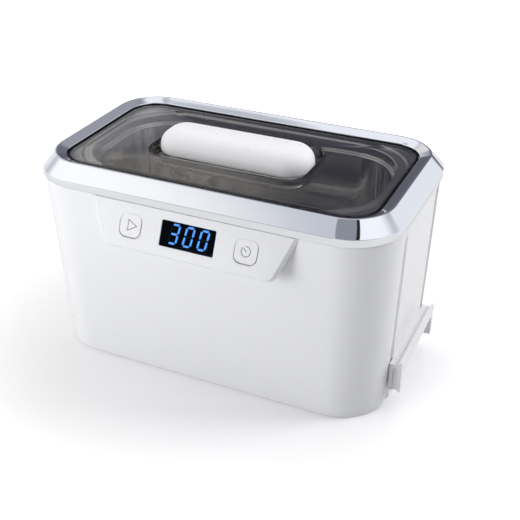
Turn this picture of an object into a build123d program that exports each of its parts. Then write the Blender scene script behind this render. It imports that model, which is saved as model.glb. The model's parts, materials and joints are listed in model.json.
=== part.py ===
from build123d import *
from math import cos, radians, sin
import os

# Bench-top ultrasonic cleaner with a lift-off lid, in millimetres.
# Origin: centre of the body on the table. Front is -Y, right is +X, up is +Z.

# ---- driving dimensions -------------------------------------------------------------------
# Moulded body, a rounded rectangle that widens towards the top: width, depth, corner radius
BODY_FOOT = (197.0, 108.8, 28.1)
BODY_HEAD = (203.0, 118.8, 29.3)
BODY_TOP = 106.9
WALL = 2.4
LEDGE_UNDERSIDE = 104.5          # underside of the inward ledge round the top
STEP_OUTLINE = (188.0, 104.0, 22.0)
STEP_TOP = 111.6                 # raised seat that carries the tank
TANK_CUTOUT = (167.0, 86.0, 32.0)

# Chrome trim ring
RING_OUTLINE = (205.0, 120.8, 30.3)
RING_BOTTOM = 107.3
RING_BAND_TOP = 111.5
RING_TOP = 118.4
RING_SLOPE = 7.2                 # how far the ridge stands in from the outer face
RING_LAND = 0.9                  # flat land on the ridge
RING_MOUTH = (178.2, 94.0, 16.9)
RING_MOUTH_TOP = 116.3
RING_SKIN = 2.1

# Drawn steel tank
STEEL = 0.8
FLANGE_OUTLINE = (187.0, 103.0, 21.5)
FLANGE_TOP = 113.2
TANK_MOUTH = (163.0, 82.0, 30.0)
BEAD_Z = 107.8                   # height of the step round the tank wall
TANK_WELL = (158.4, 77.4, 27.7)
TANK_FLOOR = 54.0
TANK_FLOOR_RADIUS = 9.0
GASKET_THICKNESS = FLANGE_TOP - STEEL - STEP_TOP

# Lid
LID_OUTLINE = (174.8, 90.6, 15.2)
LID_SHEET = 1.8
LID_BORDER_TOP = 115.6
LID_BORDER = (168.0, 84.0, 13.0)     # inner edge of the flat border
GRIP_X = -3.6                        # the grip and its well stand a little left of centre
GRIP_WELL_RIM = (90.4, 45.2, 12.0)
GRIP_WELL_FLOOR = (89.2, 41.2, 12.0)
GRIP_RIM_TOP = 117.3
GRIP_FLOOR_TOP = 110.4
SEAL_OUTLINE = (177.5, 93.3, 16.5)
SEAL_LIP = 1.2
HANDLE = (88.0, 29.2, 12.6)
HANDLE_BOTTOM = 112.2
HANDLE_TOP = 126.0
HANDLE_CROWN = 10.6
HANDLE_UNDERCUT = 2.4
PEDESTAL = (66.0, 14.0, 6.5)
HANDLE_SCREW_X = 24.0

# Control console, a wedge whose face leans back at the top
FACE_TILT = 24.33
FACE_Y = -59.85                  # where the face plane meets the underside of the ring
FACE_LENGTH = 25.0               # measured down the slope
CONSOLE_TOP_HALF = 57.9
CONSOLE_BOTTOM_HALF = 48.2
CONSOLE_CORNER = 6.0
CONSOLE_BEVEL = 1.7
CONSOLE_WALL = 2.2
FACE_WALL = 2.0
WINDOW = (30.3, 13.3)
WINDOW_X, WINDOW_V = 0.2, 11.65
BUTTON = (12.0, 11.8, 3.5)
BUTTON_X, BUTTON_V = 32.4, 12.0
BUTTON_GAP = 0.3
BUTTON_TRAVEL = 0.6
BOARD_DEPTH = 9.5                # front of the control board, behind the face
BOARD_THICKNESS = 1.6

# Opening in the front wall behind the console
FRONT_OPENING_HALF = 47.5
FRONT_OPENING_Z = (87.0, 102.5)
FRONT_OPENING_GAP = 0.3

# Cord hook on the right side, between two grooves in the wall
GROOVE_EDGE = 30.6               # half the distance between the grooves' outer edges
GROOVE_FLOOR = 3.5
GROOVE_DEPTH = 1.6
HOOK_SHELF_TOP = 27.0
HOOK_HALF = 31.2
HOOK_OUTER_X = 105.9
HOOK_SHEET = 2.0
HOOK_RIM = 1.5                   # thickness of the outer lip and its end ribs
HOOK_POCKET = 1.4                # how far the end plates stand in from the shelf's ends
HOOK_FOOT_Z = 10.0

# Base
BASE_Z = 3.0
BASE_THICKNESS = 2.5
BASE_GAP = 0.3
BASE_BOSS = (85.9, 41.8)
FOOT_AT = (68.0, 32.0)
BOARD_Z = 14.0

# Transducer stack, hung under the tank floor
STACK_TOP = TANK_FLOOR - STEEL
FRONT_MASS_HEIGHT = 16.0
CERAMIC = (18.0, 7.0, 5.0)       # outer radius, bore radius, thickness
ELECTRODE_SHEET = 0.3
BACK_MASS_HEIGHT = 12.0

# Mains cord gland in the rear wall
GLAND_X, GLAND_Z = 62.0, 22.0
GLAND_BORE_R = 3.4


# ---- helpers ------------------------------------------------------------------------------
def outline(size, z, x=0.0):
    """A rounded rectangle (width, depth, corner radius) at height z."""
    width, depth, radius = size
    return Pos(x, 0, z) * RectangleRounded(width, depth, radius)


def block(size, z0, z1, x=0.0):
    """A straight-sided block with rounded corners."""
    return extrude(outline(size, z0, x), z1 - z0)


def tapered(low, high, z0, z1, x=0.0):
    """A block whose outline changes from low to high."""
    return loft([outline(low, z0, x), outline(high, z1, x)], ruled=True)


def grown(size, by):
    """The same outline, moved outwards by a distance (inwards if negative)."""
    width, depth, radius = size
    return (width + 2 * by, depth + 2 * by, radius + by)


def body_outline(z, by=0.0):
    """The body's outline at height z."""
    share = z / RING_BOTTOM
    size = tuple(low + (high - low) * share for low, high in zip(BODY_FOOT, BODY_HEAD))
    return grown(size, by)


def body_form(z0, z1, by=0.0):
    """The body's tapered form between two heights."""
    return tapered(body_outline(z0, by), body_outline(z1, by), z0, z1)


def rod(radius, z0, z1, x=0.0, y=0.0):
    """An upright cylinder."""
    return Pos(x, y, (z0 + z1) / 2) * Cylinder(radius, z1 - z0)


def bar(x, y, z):
    """A box from (low, high) pairs."""
    size = [high - low for low, high in (x, y, z)]
    middle = [(high + low) / 2 for low, high in (x, y, z)]
    return Pos(*middle) * Box(*size)


def corners(x, y):
    """The four points (+-x, +-y)."""
    return [(sx * x, sy * y) for sx in (-1, 1) for sy in (-1, 1)]


def screw(radius, length, head_radius, head_height):
    """A pan-head screw with its head below z = 0 and its shank rising to z = length."""
    head = fillet(rod(head_radius, -head_height, 0).edges().group_by(Axis.Z)[0], head_height * 0.45)
    slot = Pos(0, 0, -head_height) * Box(head_radius * 1.1, head_radius * 0.28, head_height * 0.9)
    return head + rod(radius, 0, length) - slot - Rot(0, 0, 90) * slot


def wire(radius, points, bends):
    """A round lead along a route with rounded corners."""
    path = FilletPolyline(*points, radius=bends)
    return sweep(Plane(origin=path @ 0, z_dir=path % 0) * Circle(radius), path=path)


FACE_NORMAL = (0, -cos(radians(FACE_TILT)), sin(radians(FACE_TILT)))
FACE = Plane(origin=(0, FACE_Y, RING_BOTTOM), x_dir=(1, 0, 0), z_dir=FACE_NORMAL)


def on_face(x, v, depth=0.0):
    """A place on the console's face: x across, v down the slope, depth behind the face."""
    return FACE * Pos(x, -v, -depth)


def face_block(x, v, size, depth0, depth1):
    """A rounded block that runs between two depths behind the console's face."""
    width, height, radius = size
    return on_face(x, v, depth1) * extrude(RectangleRounded(width, height, radius), depth1 - depth0)


def face_rod(x, v, radius, depth0, depth1):
    """A cylinder square to the console's face."""
    return on_face(x, v, (depth0 + depth1) / 2) * Cylinder(radius, depth1 - depth0)


# ---- housing ------------------------------------------------------------------------------

RING_SCREWS = corners(96.4, 16.0) + corners(62.0, 54.6)
CONSOLE_SCREW = (50.4, 97.0)     # x, z
HOOK_SCREWS = [(y, 17.0) for y in (-16.0, 16.0)]
SCREW_R = 1.5
PILOT_R = 1.25


SIDE_X = BODY_FOOT[0] / 2         # the right side's face at the foot
SIDE_SLOPE = (BODY_HEAD[0] - BODY_FOOT[0]) / 2 / RING_BOTTOM


def side_groove(side):
    """A groove up the right side, square at its outer edge and sloping out at 45 degrees inwards."""
    reach = 1.0
    floor_x, ramp_y = SIDE_X - GROOVE_DEPTH, GROOVE_EDGE - GROOVE_FLOOR
    section = [(SIDE_X + reach, GROOVE_EDGE), (floor_x, GROOVE_EDGE), (floor_x, ramp_y)]
    section.append((SIDE_X + reach, ramp_y - GROOVE_DEPTH - reach))
    shape = make_face(Polyline(*[(x, side * y) for x, y in section], close=True))
    return extrude(shape, RING_BOTTOM, dir=(SIDE_SLOPE, 0, 1))


def body_shell():
    """The white outer case: tapered walls, a top ledge with a raised tank seat, and screw bosses."""
    case = body_form(0, BODY_TOP) - body_form(-1, LEDGE_UNDERSIDE, -WALL)
    case += block(STEP_OUTLINE, BODY_TOP - 0.5, STEP_TOP)
    case -= block(grown(STEP_OUTLINE, -WALL), LEDGE_UNDERSIDE - 1, STEP_TOP - WALL)
    case -= block(TANK_CUTOUT, LEDGE_UNDERSIDE - 1, STEP_TOP + 1)
    for side in (-1, 1):
        case -= side_groove(side)
    # bosses for the base screws, blended into the corners
    for x, y in corners(*BASE_BOSS):
        case += rod(5.2, BASE_Z + BASE_THICKNESS, 36, x, y)
        case -= rod(PILOT_R, BASE_Z + BASE_THICKNESS - 1, 22, x, y)
    for x, y in RING_SCREWS:
        case -= rod(SCREW_R + 0.15, LEDGE_UNDERSIDE - 1, BODY_TOP + 1, x, y)
    # front opening and the console's screw holes
    case -= bar((-FRONT_OPENING_HALF, FRONT_OPENING_HALF), (-64, -50), FRONT_OPENING_Z)
    for side in (-1, 1):
        case -= Pos(side * CONSOLE_SCREW[0], -57, CONSOLE_SCREW[1]) * Rot(90, 0, 0) * Cylinder(1.45, 12)
    for y, z in HOOK_SCREWS:
        case -= Pos(96, y, z) * Rot(0, 90, 0) * Cylinder(SCREW_R + 0.15, 12)
    case -= Pos(GLAND_X, 56, GLAND_Z) * Rot(90, 0, 0) * Cylinder(6.0, 16)
    return case


def trim_ring():
    """The chrome ring: an upright band, an outer slope, a narrow land and an inner slope."""
    ridge = grown(RING_OUTLINE, -RING_SLOPE)
    envelope = block(RING_OUTLINE, RING_BOTTOM, RING_BAND_TOP)
    envelope += tapered(RING_OUTLINE, ridge, RING_BAND_TOP, RING_TOP)
    hollow = block(grown(RING_OUTLINE, -RING_SKIN), RING_BOTTOM, RING_BAND_TOP - 0.5)
    hollow_top = RING_TOP - RING_SKIN - 0.6
    hollow += tapered(
        grown(RING_OUTLINE, -RING_SKIN), grown(ridge, 0.2 - RING_SKIN), RING_BAND_TOP - 0.5, hollow_top
    )
    hollow -= block(grown(RING_MOUTH, RING_SKIN), RING_BOTTOM, RING_TOP)
    funnel = tapered(RING_MOUTH, grown(ridge, -RING_LAND), RING_MOUTH_TOP, RING_TOP)
    mouth = block(RING_MOUTH, RING_BOTTOM - 1, RING_MOUTH_TOP)
    under = block(grown(RING_MOUTH, RING_SKIN), RING_BOTTOM - 1, FLANGE_TOP)
    ring = envelope - hollow - funnel - mouth - under
    for x, y in RING_SCREWS:
        room = envelope + rod(2.3, BODY_TOP, RING_BOTTOM, x, y)
        ring += rod(2.3, BODY_TOP, RING_BAND_TOP + 3, x, y) & room
        ring -= rod(PILOT_R, BODY_TOP - 1, RING_BAND_TOP + 0.6, x, y)
    return ring


def tank():
    """The deep-drawn steel tank with its flange and the step below the mouth."""
    upper = block(grown(TANK_MOUTH, STEEL), BEAD_Z - STEEL, FLANGE_TOP - STEEL)
    floor = TANK_FLOOR - STEEL
    lower = block(grown(TANK_WELL, STEEL), floor, BEAD_Z)
    lower = fillet(lower.edges().group_by(Axis.Z)[0], TANK_FLOOR_RADIUS + STEEL)
    flange = block(FLANGE_OUTLINE, FLANGE_TOP - STEEL, FLANGE_TOP)
    space = block(TANK_WELL, TANK_FLOOR, BEAD_Z + 1)
    space = fillet(space.edges().group_by(Axis.Z)[0], TANK_FLOOR_RADIUS)
    space += block(TANK_MOUTH, BEAD_Z, FLANGE_TOP + 1)
    return upper + lower + flange - space


def tank_gasket():
    """The rubber seal between the tank's flange and its seat."""
    seat = grown(STEP_OUTLINE, -1.2)
    return block(seat, STEP_TOP, STEP_TOP + GASKET_THICKNESS) - block(
        grown(TANK_CUTOUT, 0.6), STEP_TOP - 1, STEP_TOP + 2
    )


# ---- lid ----------------------------------------------------------------------------------
def lid_cover():
    """The smoked lid: a flat border, a gently crowned middle and a sunk finger well."""
    lid = block(LID_OUTLINE, LID_BORDER_TOP - LID_SHEET, LID_BORDER_TOP)
    lid += crown(LID_BORDER_TOP, 0)
    well = tapered(
        grown(GRIP_WELL_FLOOR, LID_SHEET), grown(GRIP_WELL_RIM, LID_SHEET),
        GRIP_FLOOR_TOP - LID_SHEET, GRIP_RIM_TOP - 0.4, GRIP_X,
    )
    lid += well
    lid -= crown(LID_BORDER_TOP - LID_SHEET, -1.5) - well
    lid -= tapered(GRIP_WELL_FLOOR, GRIP_WELL_RIM, GRIP_FLOOR_TOP, GRIP_RIM_TOP + 0.01, GRIP_X)
    for side in (-1, 1):
        lid -= rod(SCREW_R + 0.15, GRIP_FLOOR_TOP - 5, GRIP_FLOOR_TOP + 1, GRIP_X + side * HANDLE_SCREW_X)
    return lid


def crown(z, by):
    """The lid's crowned middle, from the flat border up to the rim of the finger well."""
    rim = grown(GRIP_WELL_RIM, 2.0)
    rise = GRIP_RIM_TOP - LID_BORDER_TOP
    return loft([outline(grown(LID_BORDER, by), z), outline(rim, z + rise, GRIP_X)], ruled=True)


def lid_gasket():
    """The black seal round the lid's edge, with a lip under the border."""
    bottom = FLANGE_TOP
    lip_top = LID_BORDER_TOP - LID_SHEET
    seal = block(SEAL_OUTLINE, bottom, LID_BORDER_TOP - 0.3) - block(LID_OUTLINE, lip_top, LID_BORDER_TOP)
    return seal - block(grown(LID_OUTLINE, -SEAL_LIP), bottom - 1, lip_top + 1)


def lid_handle():
    """The white grip bar, crowned on top and undercut over its pedestal for the fingertips."""
    grip = block(HANDLE, HANDLE_BOTTOM, HANDLE_TOP, GRIP_X)
    grip = fillet(grip.edges().group_by(Axis.Z)[-1], HANDLE_CROWN)
    grip = fillet(grip.edges().group_by(Axis.Z)[0], HANDLE_UNDERCUT)
    grip += block(PEDESTAL, GRIP_FLOOR_TOP, HANDLE_BOTTOM + 1, GRIP_X)
    for side in (-1, 1):
        grip -= rod(PILOT_R, GRIP_FLOOR_TOP - 1, GRIP_FLOOR_TOP + 8.5, GRIP_X + side * HANDLE_SCREW_X)
    return grip


def handle_washers():
    """The two sealing washers under the lid."""
    top = GRIP_FLOOR_TOP - LID_SHEET
    rings = []
    for side in (-1, 1):
        x = GRIP_X + side * HANDLE_SCREW_X
        rings.append(rod(3.2, top - 0.6, top, x) - rod(SCREW_R + 0.05, top - 1, top + 1, x))
    return Part() + rings


def handle_screws():
    """The two screws that hold the grip from under the lid."""
    seat = GRIP_FLOOR_TOP - LID_SHEET - 0.6
    one = screw(PILOT_R, 9.0, 2.6, 1.6)
    return Part() + [Pos(GRIP_X + side * HANDLE_SCREW_X, 0, seat) * one for side in (-1, 1)]


# ---- control console ----------------------------------------------------------------------
BOARD_POSTS = [(side * 43.0, v) for side in (-1, 1) for v in (6.2, 13.6)]


def wedge(inset, depth):
    """The console's wedge, drawn in by inset at its sides and by depth behind its face."""
    run = FACE_LENGTH * cos(radians(FACE_TILT))
    low = RING_BOTTOM - run + inset
    top = BODY_TOP - inset
    pull = (CONSOLE_TOP_HALF - CONSOLE_BOTTOM_HALF) / run
    top_half = CONSOLE_TOP_HALF - pull * (RING_BOTTOM - top) - inset
    low_half = CONSOLE_TOP_HALF - pull * (RING_BOTTOM - low) - inset
    ends = (-top_half, top), (top_half, top), (low_half, low), (-low_half, low)
    shape = make_face(Polyline(*ends, close=True))
    shape = fillet(shape.vertices().group_by(Axis.Y)[0], CONSOLE_CORNER - inset)
    solid = Pos(0, -50, 0) * extrude(Plane.XZ * shape, 25)
    return solid - on_face(0, 0, depth) * Pos(0, 0, 20) * Box(160, 120, 40)


def control_console():
    """The wedge-shaped cover that carries the window and the two keys."""
    body = wedge(0, 0)
    face = body.faces().sort_by(Axis((0, 0, 0), FACE_NORMAL))[-1]
    rim = face.edges().sort_by(Axis.Z)[:-1]
    body = chamfer(rim, CONSOLE_BEVEL)
    body -= wedge(CONSOLE_WALL, FACE_WALL)
    # posts for the control board and for the two case screws
    for x, v in BOARD_POSTS:
        body += face_rod(x, v, 2.2, FACE_WALL - 0.5, BOARD_DEPTH)
    for side in (-1, 1):
        post = Pos(side * CONSOLE_SCREW[0], -60, CONSOLE_SCREW[1]) * Rot(90, 0, 0) * Cylinder(2.9, 20)
        body += post & wedge(0.6, 1.0)
    half = FRONT_OPENING_HALF - FRONT_OPENING_GAP
    spigot_z = (FRONT_OPENING_Z[0] + FRONT_OPENING_GAP, FRONT_OPENING_Z[1] - FRONT_OPENING_GAP)
    body -= body_form(60, BODY_TOP + 1) - bar((-half, half), (-70, -40), spigot_z)
    for x, v in BOARD_POSTS:
        body -= face_rod(x, v, 0.8, FACE_WALL + 1.5, BOARD_DEPTH + 1)
    for side in (-1, 1):
        body -= Pos(side * CONSOLE_SCREW[0], -58.5, CONSOLE_SCREW[1]) * Rot(90, 0, 0) * Cylinder(1.0, 8)
        body -= face_block(side * BUTTON_X, BUTTON_V, grown(BUTTON, BUTTON_GAP), -1, FACE_WALL + 0.5)
    body -= face_block(WINDOW_X, WINDOW_V, (WINDOW[0], WINDOW[1], 0.8), -1, FACE_WALL + 0.5)
    return body


LENS = 1.5
SEGMENT_DEPTH = LENS + 0.1


def display_window():
    """The dark lens, flush with the console's face."""
    return face_block(WINDOW_X, WINDOW_V, (WINDOW[0], WINDOW[1], 0.8), 0, LENS)


def display_module():
    """The three-digit light module behind the lens."""
    return face_block(WINDOW_X, WINDOW_V - 0.3, (29.6, 12.2, 0.5), SEGMENT_DEPTH + 0.4, BOARD_DEPTH)


DIGIT_HEIGHT = 10.6
DIGIT_WIDTH = 5.2
DIGIT_PITCH = 8.2
DIGIT_MIDDLE_X = 0.4
DIGIT_LEAN = 0.14
SEGMENT_WIDTH = 1.0
SEGMENT_GAP = 0.32
SEGMENT_NAMES = ("top", "upper_right", "lower_right", "bottom", "lower_left", "upper_left", "middle")
LIT_SEGMENTS = {
    "3": ("top", "upper_right", "lower_right", "bottom", "middle"),
    "0": ("top", "upper_right", "lower_right", "bottom", "lower_left", "upper_left"),
}
READING = "300"


def segment_outline(name):
    """A pointed bar of an upright digit centred on the origin, as corner points."""
    half_t = SEGMENT_WIDTH / 2
    half_w = DIGIT_WIDTH / 2 - half_t
    half_h = DIGIT_HEIGHT / 2 - half_t
    ends = {
        "top": ((-half_w, half_h), (half_w, half_h)),
        "middle": ((-half_w, 0), (half_w, 0)),
        "bottom": ((-half_w, -half_h), (half_w, -half_h)),
        "upper_left": ((-half_w, 0), (-half_w, half_h)),
        "upper_right": ((half_w, 0), (half_w, half_h)),
        "lower_left": ((-half_w, -half_h), (-half_w, 0)),
        "lower_right": ((half_w, -half_h), (half_w, 0)),
    }
    start, end = Vector(*ends[name][0]), Vector(*ends[name][1])
    along = (end - start).normalized()
    side = Vector(-along.Y, along.X) * half_t
    start, end = start + along * SEGMENT_GAP, end - along * SEGMENT_GAP
    points = [start, start + along * half_t + side, end - along * half_t + side]
    points += [end, end - along * half_t - side, start + along * half_t - side]
    return [(p.X + p.Y * DIGIT_LEAN, p.Y) for p in points]


def segments(lit):
    """All the lit, or all the dark, light pipes of the three digits."""
    bars = []
    for place, digit in enumerate(READING):
        x = DIGIT_MIDDLE_X + (place - 1) * DIGIT_PITCH
        for name in SEGMENT_NAMES:
            if (name in LIT_SEGMENTS[digit]) == lit:
                shape = make_face(Polyline(*segment_outline(name), close=True))
                bars.append(on_face(x, WINDOW_V, SEGMENT_DEPTH + 0.4) * extrude(shape, 0.4))
    return Part() + bars


SWITCH_HEIGHT = 4.35


def push_key(side, icon):
    """A flush key: cap, retaining flange and stem, with its icon sunk into the cap."""
    x = side * BUTTON_X
    cap = face_block(x, BUTTON_V, BUTTON, 0, FACE_WALL)
    cap = fillet(cap.faces().sort_by(Axis((0, 0, 0), FACE_NORMAL))[-1].edges(), 0.3)
    cap += face_block(x, BUTTON_V, grown(BUTTON, 1.0), FACE_WALL + 0.15, FACE_WALL + 0.95)
    cap += face_block(x, BUTTON_V, grown(BUTTON, -0.6), FACE_WALL - 0.1, FACE_WALL + 0.3)
    cap += face_rod(x, BUTTON_V, 2.0, FACE_WALL + 0.9, BOARD_DEPTH - SWITCH_HEIGHT - BUTTON_TRAVEL - 0.1)
    return cap - icon


ICON_DEPTH = 0.25
ICON_LINE = 0.42


def start_icon():
    """A play triangle in outline."""
    mark = Triangle(a=6.4, B=60, C=60)
    mark = mark - offset(mark, -ICON_LINE, kind=Kind.INTERSECTION)
    mark = Pos(0.3, 0, 0) * Rot(0, 0, -90) * extrude(mark, ICON_DEPTH)
    return on_face(-BUTTON_X, BUTTON_V, ICON_DEPTH) * mark


def timer_icon():
    """A clock: an open ring and one hand."""
    ring = Circle(2.7) - Circle(2.7 - ICON_LINE)
    ring -= Rot(0, 0, 118) * Pos(2.7, 0) * Rectangle(2.0, 1.3)
    hand = Rot(0, 0, 128) * Pos(0.85, 0) * Rectangle(2.3, ICON_LINE)
    return on_face(BUTTON_X, BUTTON_V, ICON_DEPTH) * extrude(ring + hand, ICON_DEPTH)


def control_board():
    """The board behind the console."""
    board = face_block(0, 9.75, (92.0, 13.2, 1.0), BOARD_DEPTH, BOARD_DEPTH + BOARD_THICKNESS)
    for x, v in BOARD_POSTS:
        board -= face_rod(x, v, 1.15, BOARD_DEPTH - 1, BOARD_DEPTH + BOARD_THICKNESS + 1)
    return board


def control_board_screws():
    """The four small screws that hold the control board."""
    one = screw(0.8, 6.0, 1.7, 1.0)
    back = BOARD_DEPTH + BOARD_THICKNESS
    return Part() + [on_face(x, v, back) * one for x, v in BOARD_POSTS]


def tact_switches():
    """The two push switches under the keys."""
    found = []
    for side in (-1, 1):
        case = face_block(side * BUTTON_X, BUTTON_V, (6.0, 6.0, 0.6), BOARD_DEPTH - 3.6, BOARD_DEPTH)
        plunger = face_rod(side * BUTTON_X, BUTTON_V, 1.6, BOARD_DEPTH - SWITCH_HEIGHT, BOARD_DEPTH - 3.5)
        found.append(case + plunger)
    return Part() + found


RIBBON_X = 36.0
RIBBON = (7.0, 0.9)
SOCKET = (9.0, 5.0, 0.6)


def control_socket():
    """The cable socket on the back of the control board."""
    back = BOARD_DEPTH + BOARD_THICKNESS
    return face_block(RIBBON_X, 7.0, SOCKET, back, back + 5.0)


def display_cable():
    """The flat cable from the control board down the front wall to the power board."""
    start = on_face(RIBBON_X, 9.5, BOARD_DEPTH + BOARD_THICKNESS + 2.5).position
    end_z = BOARD_Z + BOARD_THICKNESS + 2.5
    route = [(start.Y, start.Z), (start.Y - 2.4, start.Z - 5.4), (-51.8, 66), (-49.5, 38), (-45.5, 22)]
    route += [(POWER_SOCKET_Y - 4.5, end_z), (POWER_SOCKET_Y, end_z)]
    path = FilletPolyline(*[(RIBBON_X, y, z) for y, z in route], radius=[6, 10, 12, 10, 3])
    section = Plane(origin=path @ 0, x_dir=(1, 0, 0), z_dir=path % 0) * Rectangle(*RIBBON)
    return sweep(section, path=path)


def console_screws():
    """The two screws that hold the console from inside the case."""
    found = []
    for side in (-1, 1):
        seat_y = -body_outline(CONSOLE_SCREW[1])[1] / 2 + WALL + 0.15
        turned = Pos(side * CONSOLE_SCREW[0], seat_y, CONSOLE_SCREW[1]) * Rot(90, 0, 0)
        found.append(turned * screw(1.0, 5.4, 2.2, 1.4))
    return Part() + found


# ---- base ---------------------------------------------------------------------------------
BASE_TOP = BASE_Z + BASE_THICKNESS
POWER_BOARD = ((30.0, 88.0), (-36.0, 36.0))
POWER_SOCKET_Y = POWER_BOARD[1][0] + 1.0
BOARD_SCREWS = [(x, y) for x in (34.5, 83.5) for y in (-27.0, 31.0)]
TRANSFORMER_AT = (-58.0, 0.0)
TRANSFORMER_FEET = [(TRANSFORMER_AT[0] + sx * 27.0, 0.0) for sx in (-1, 1)]
VENT_ROWS = [(x, y) for x in (-58.0, 0.0, 58.0) for y in (-16.0, -8.0, 0.0, 8.0, 16.0)]
VENT = (22.0, 2.6, 1.25)


def base_plate():
    """The bottom cover: vents, foot sockets, board pillars and transformer pads."""
    plate = block(body_outline(BASE_Z, -WALL - BASE_GAP), BASE_Z, BASE_TOP)
    for x, y in VENT_ROWS:
        plate -= Pos(x, y, BASE_Z - 1) * extrude(RectangleRounded(*VENT), 5)
    for x, y in corners(*FOOT_AT):
        plate -= rod(2.6, BASE_Z - 1, BASE_TOP + 1, x, y)
    for x, y in corners(*BASE_BOSS):
        plate -= rod(SCREW_R + 0.15, BASE_Z - 1, BASE_TOP + 1, x, y)
    for x, y in BOARD_SCREWS:
        plate += rod(3.0, BASE_TOP - 0.5, BOARD_Z, x, y)
        plate -= rod(1.05, BASE_TOP + 1.5, BOARD_Z + 1, x, y)
    for x, y in TRANSFORMER_FEET:
        plate += rod(4.0, BASE_TOP - 0.5, BASE_TOP + 3, x, y)
        plate -= rod(1.05, BASE_Z + 1.2, BASE_TOP + 4, x, y)
    return plate


def base_screws():
    """The four screws that hold the base plate."""
    one = screw(PILOT_R, 14.0, 2.7, 1.9)
    return Part() + [Pos(x, y, BASE_Z) * one for x, y in corners(*BASE_BOSS)]


def rubber_feet():
    """Four soft feet with a stem pressed into the base plate."""
    sole = rod(8.0, 0, BASE_Z)
    sole = fillet(sole.edges().group_by(Axis.Z)[0], 0.6)
    one = sole + rod(2.55, BASE_Z - 0.2, BASE_TOP)
    return Part() + [Pos(x, y, 0) * one for x, y in corners(*FOOT_AT)]


# ---- transducer ---------------------------------------------------------------------------
RING_1_TOP = STACK_TOP - FRONT_MASS_HEIGHT
RING_1_FOOT = RING_1_TOP - CERAMIC[2]
RING_2_TOP = RING_1_FOOT - ELECTRODE_SHEET
RING_2_FOOT = RING_2_TOP - CERAMIC[2]
BACK_TOP = RING_2_FOOT - ELECTRODE_SHEET
BACK_FOOT = BACK_TOP - BACK_MASS_HEIGHT
STUD_R = 4.9
TAB_REACH = 24.5


def transducer_front_mass():
    """The aluminium horn bonded under the tank floor."""
    horn = Pos(0, 0, (STACK_TOP + RING_1_TOP + 5) / 2) * Cone(18.5, 23.0, FRONT_MASS_HEIGHT - 5)
    horn += rod(18.5, RING_1_TOP, RING_1_TOP + 5)
    return horn - rod(STUD_R, RING_1_TOP - 1, RING_1_TOP + 11)


def piezo_rings():
    """The two ceramic rings."""
    outer, bore, _ = CERAMIC
    rings = [rod(outer, RING_1_FOOT, RING_1_TOP) - rod(bore, RING_1_FOOT - 1, RING_1_TOP + 1)]
    rings.append(rod(outer, RING_2_FOOT, RING_2_TOP) - rod(bore, RING_2_FOOT - 1, RING_2_TOP + 1))
    return Part() + rings


def electrode_tabs():
    """The two brass contact sheets, each with a solder tab towards the power board."""
    outer, bore, _ = CERAMIC
    sheets = []
    for foot, y in ((RING_1_FOOT - ELECTRODE_SHEET, 6.0), (RING_2_FOOT - ELECTRODE_SHEET, -6.0)):
        sheet = rod(outer, foot, foot + ELECTRODE_SHEET)
        sheet += bar((10, TAB_REACH), (y - 2.5, y + 2.5), (foot, foot + ELECTRODE_SHEET))
        sheets.append(sheet - rod(bore, foot - 1, foot + 1))
    return Part() + sheets


def transducer_back_mass():
    """The steel back mass."""
    mass = chamfer(rod(18.0, BACK_FOOT, BACK_TOP).edges().group_by(Axis.Z)[0], 1.0)
    return mass - rod(5.1, BACK_FOOT - 1, BACK_TOP + 1)


def transducer_bolt():
    """The hexagon-head bolt that clamps the stack."""
    head = Pos(0, 0, BACK_FOOT - 4.0) * extrude(RegularPolygon(8.0, 6), 4.0)
    return head + rod(STUD_R, BACK_FOOT, RING_1_TOP + 10)


def transducer_leads():
    """The two leads from the solder tabs to the output terminal."""
    leads = []
    for foot, y in ((RING_1_FOOT - ELECTRODE_SHEET, 6.0), (RING_2_FOOT - ELECTRODE_SHEET, -6.0)):
        z = foot + ELECTRODE_SHEET / 2
        x = OUTPUT_TERMINAL[0] + 5
        far_y = y * 0.5 + OUTPUT_TERMINAL[1]
        points = [(TAB_REACH, y, z), (TAB_REACH + 6, y, z + 1), (x, far_y, z + 2), (x, far_y, TERMINAL_TOP)]
        leads.append(wire(0.9, points, [4.0, 2.5]))
    return Part() + leads


# ---- power electronics --------------------------------------------------------------------
BOARD_TOP = BOARD_Z + BOARD_THICKNESS
OUTPUT_TERMINAL = (34.0, 4.0)
TERMINAL_TOP = BOARD_TOP + 8.0
MAINS_TERMINAL = (GLAND_X, 27.0)
FUSE_AT = (78.0, 20.0)
CAPACITORS_AT = [(74.0, -2.0), (74.0, -22.0)]
HEAT_SINK_AT = (54.0, -18.0)
CHOKE_AT = (56.0, 8.0)


def power_board():
    """The power board on its four pillars."""
    board = bar(*POWER_BOARD, (BOARD_Z, BOARD_TOP))
    for x, y in BOARD_SCREWS:
        board -= rod(1.6, BOARD_Z - 1, BOARD_TOP + 1, x, y)
    return board


def power_board_screws():
    """The four screws of the power board."""
    one = Rot(180, 0, 0) * screw(1.05, 6.0, 2.4, 1.5)
    return Part() + [Pos(x, y, BOARD_TOP) * one for x, y in BOARD_SCREWS]


def terminal_blocks():
    """The output terminal, the mains terminal and the cable socket of the power board."""
    x, y = OUTPUT_TERMINAL
    output = bar((x, x + 9), (y - 7, y + 7), (BOARD_TOP, TERMINAL_TOP))
    x, y = MAINS_TERMINAL
    mains = bar((x - 8, x + 8), (y - 4, y + 4), (BOARD_TOP, TERMINAL_TOP))
    y = POWER_SOCKET_Y
    socket = bar((RIBBON_X - 4.5, RIBBON_X + 4.5), (y, y + 5), (BOARD_TOP, BOARD_TOP + 5))
    return Part() + [output, mains, socket]


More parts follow.
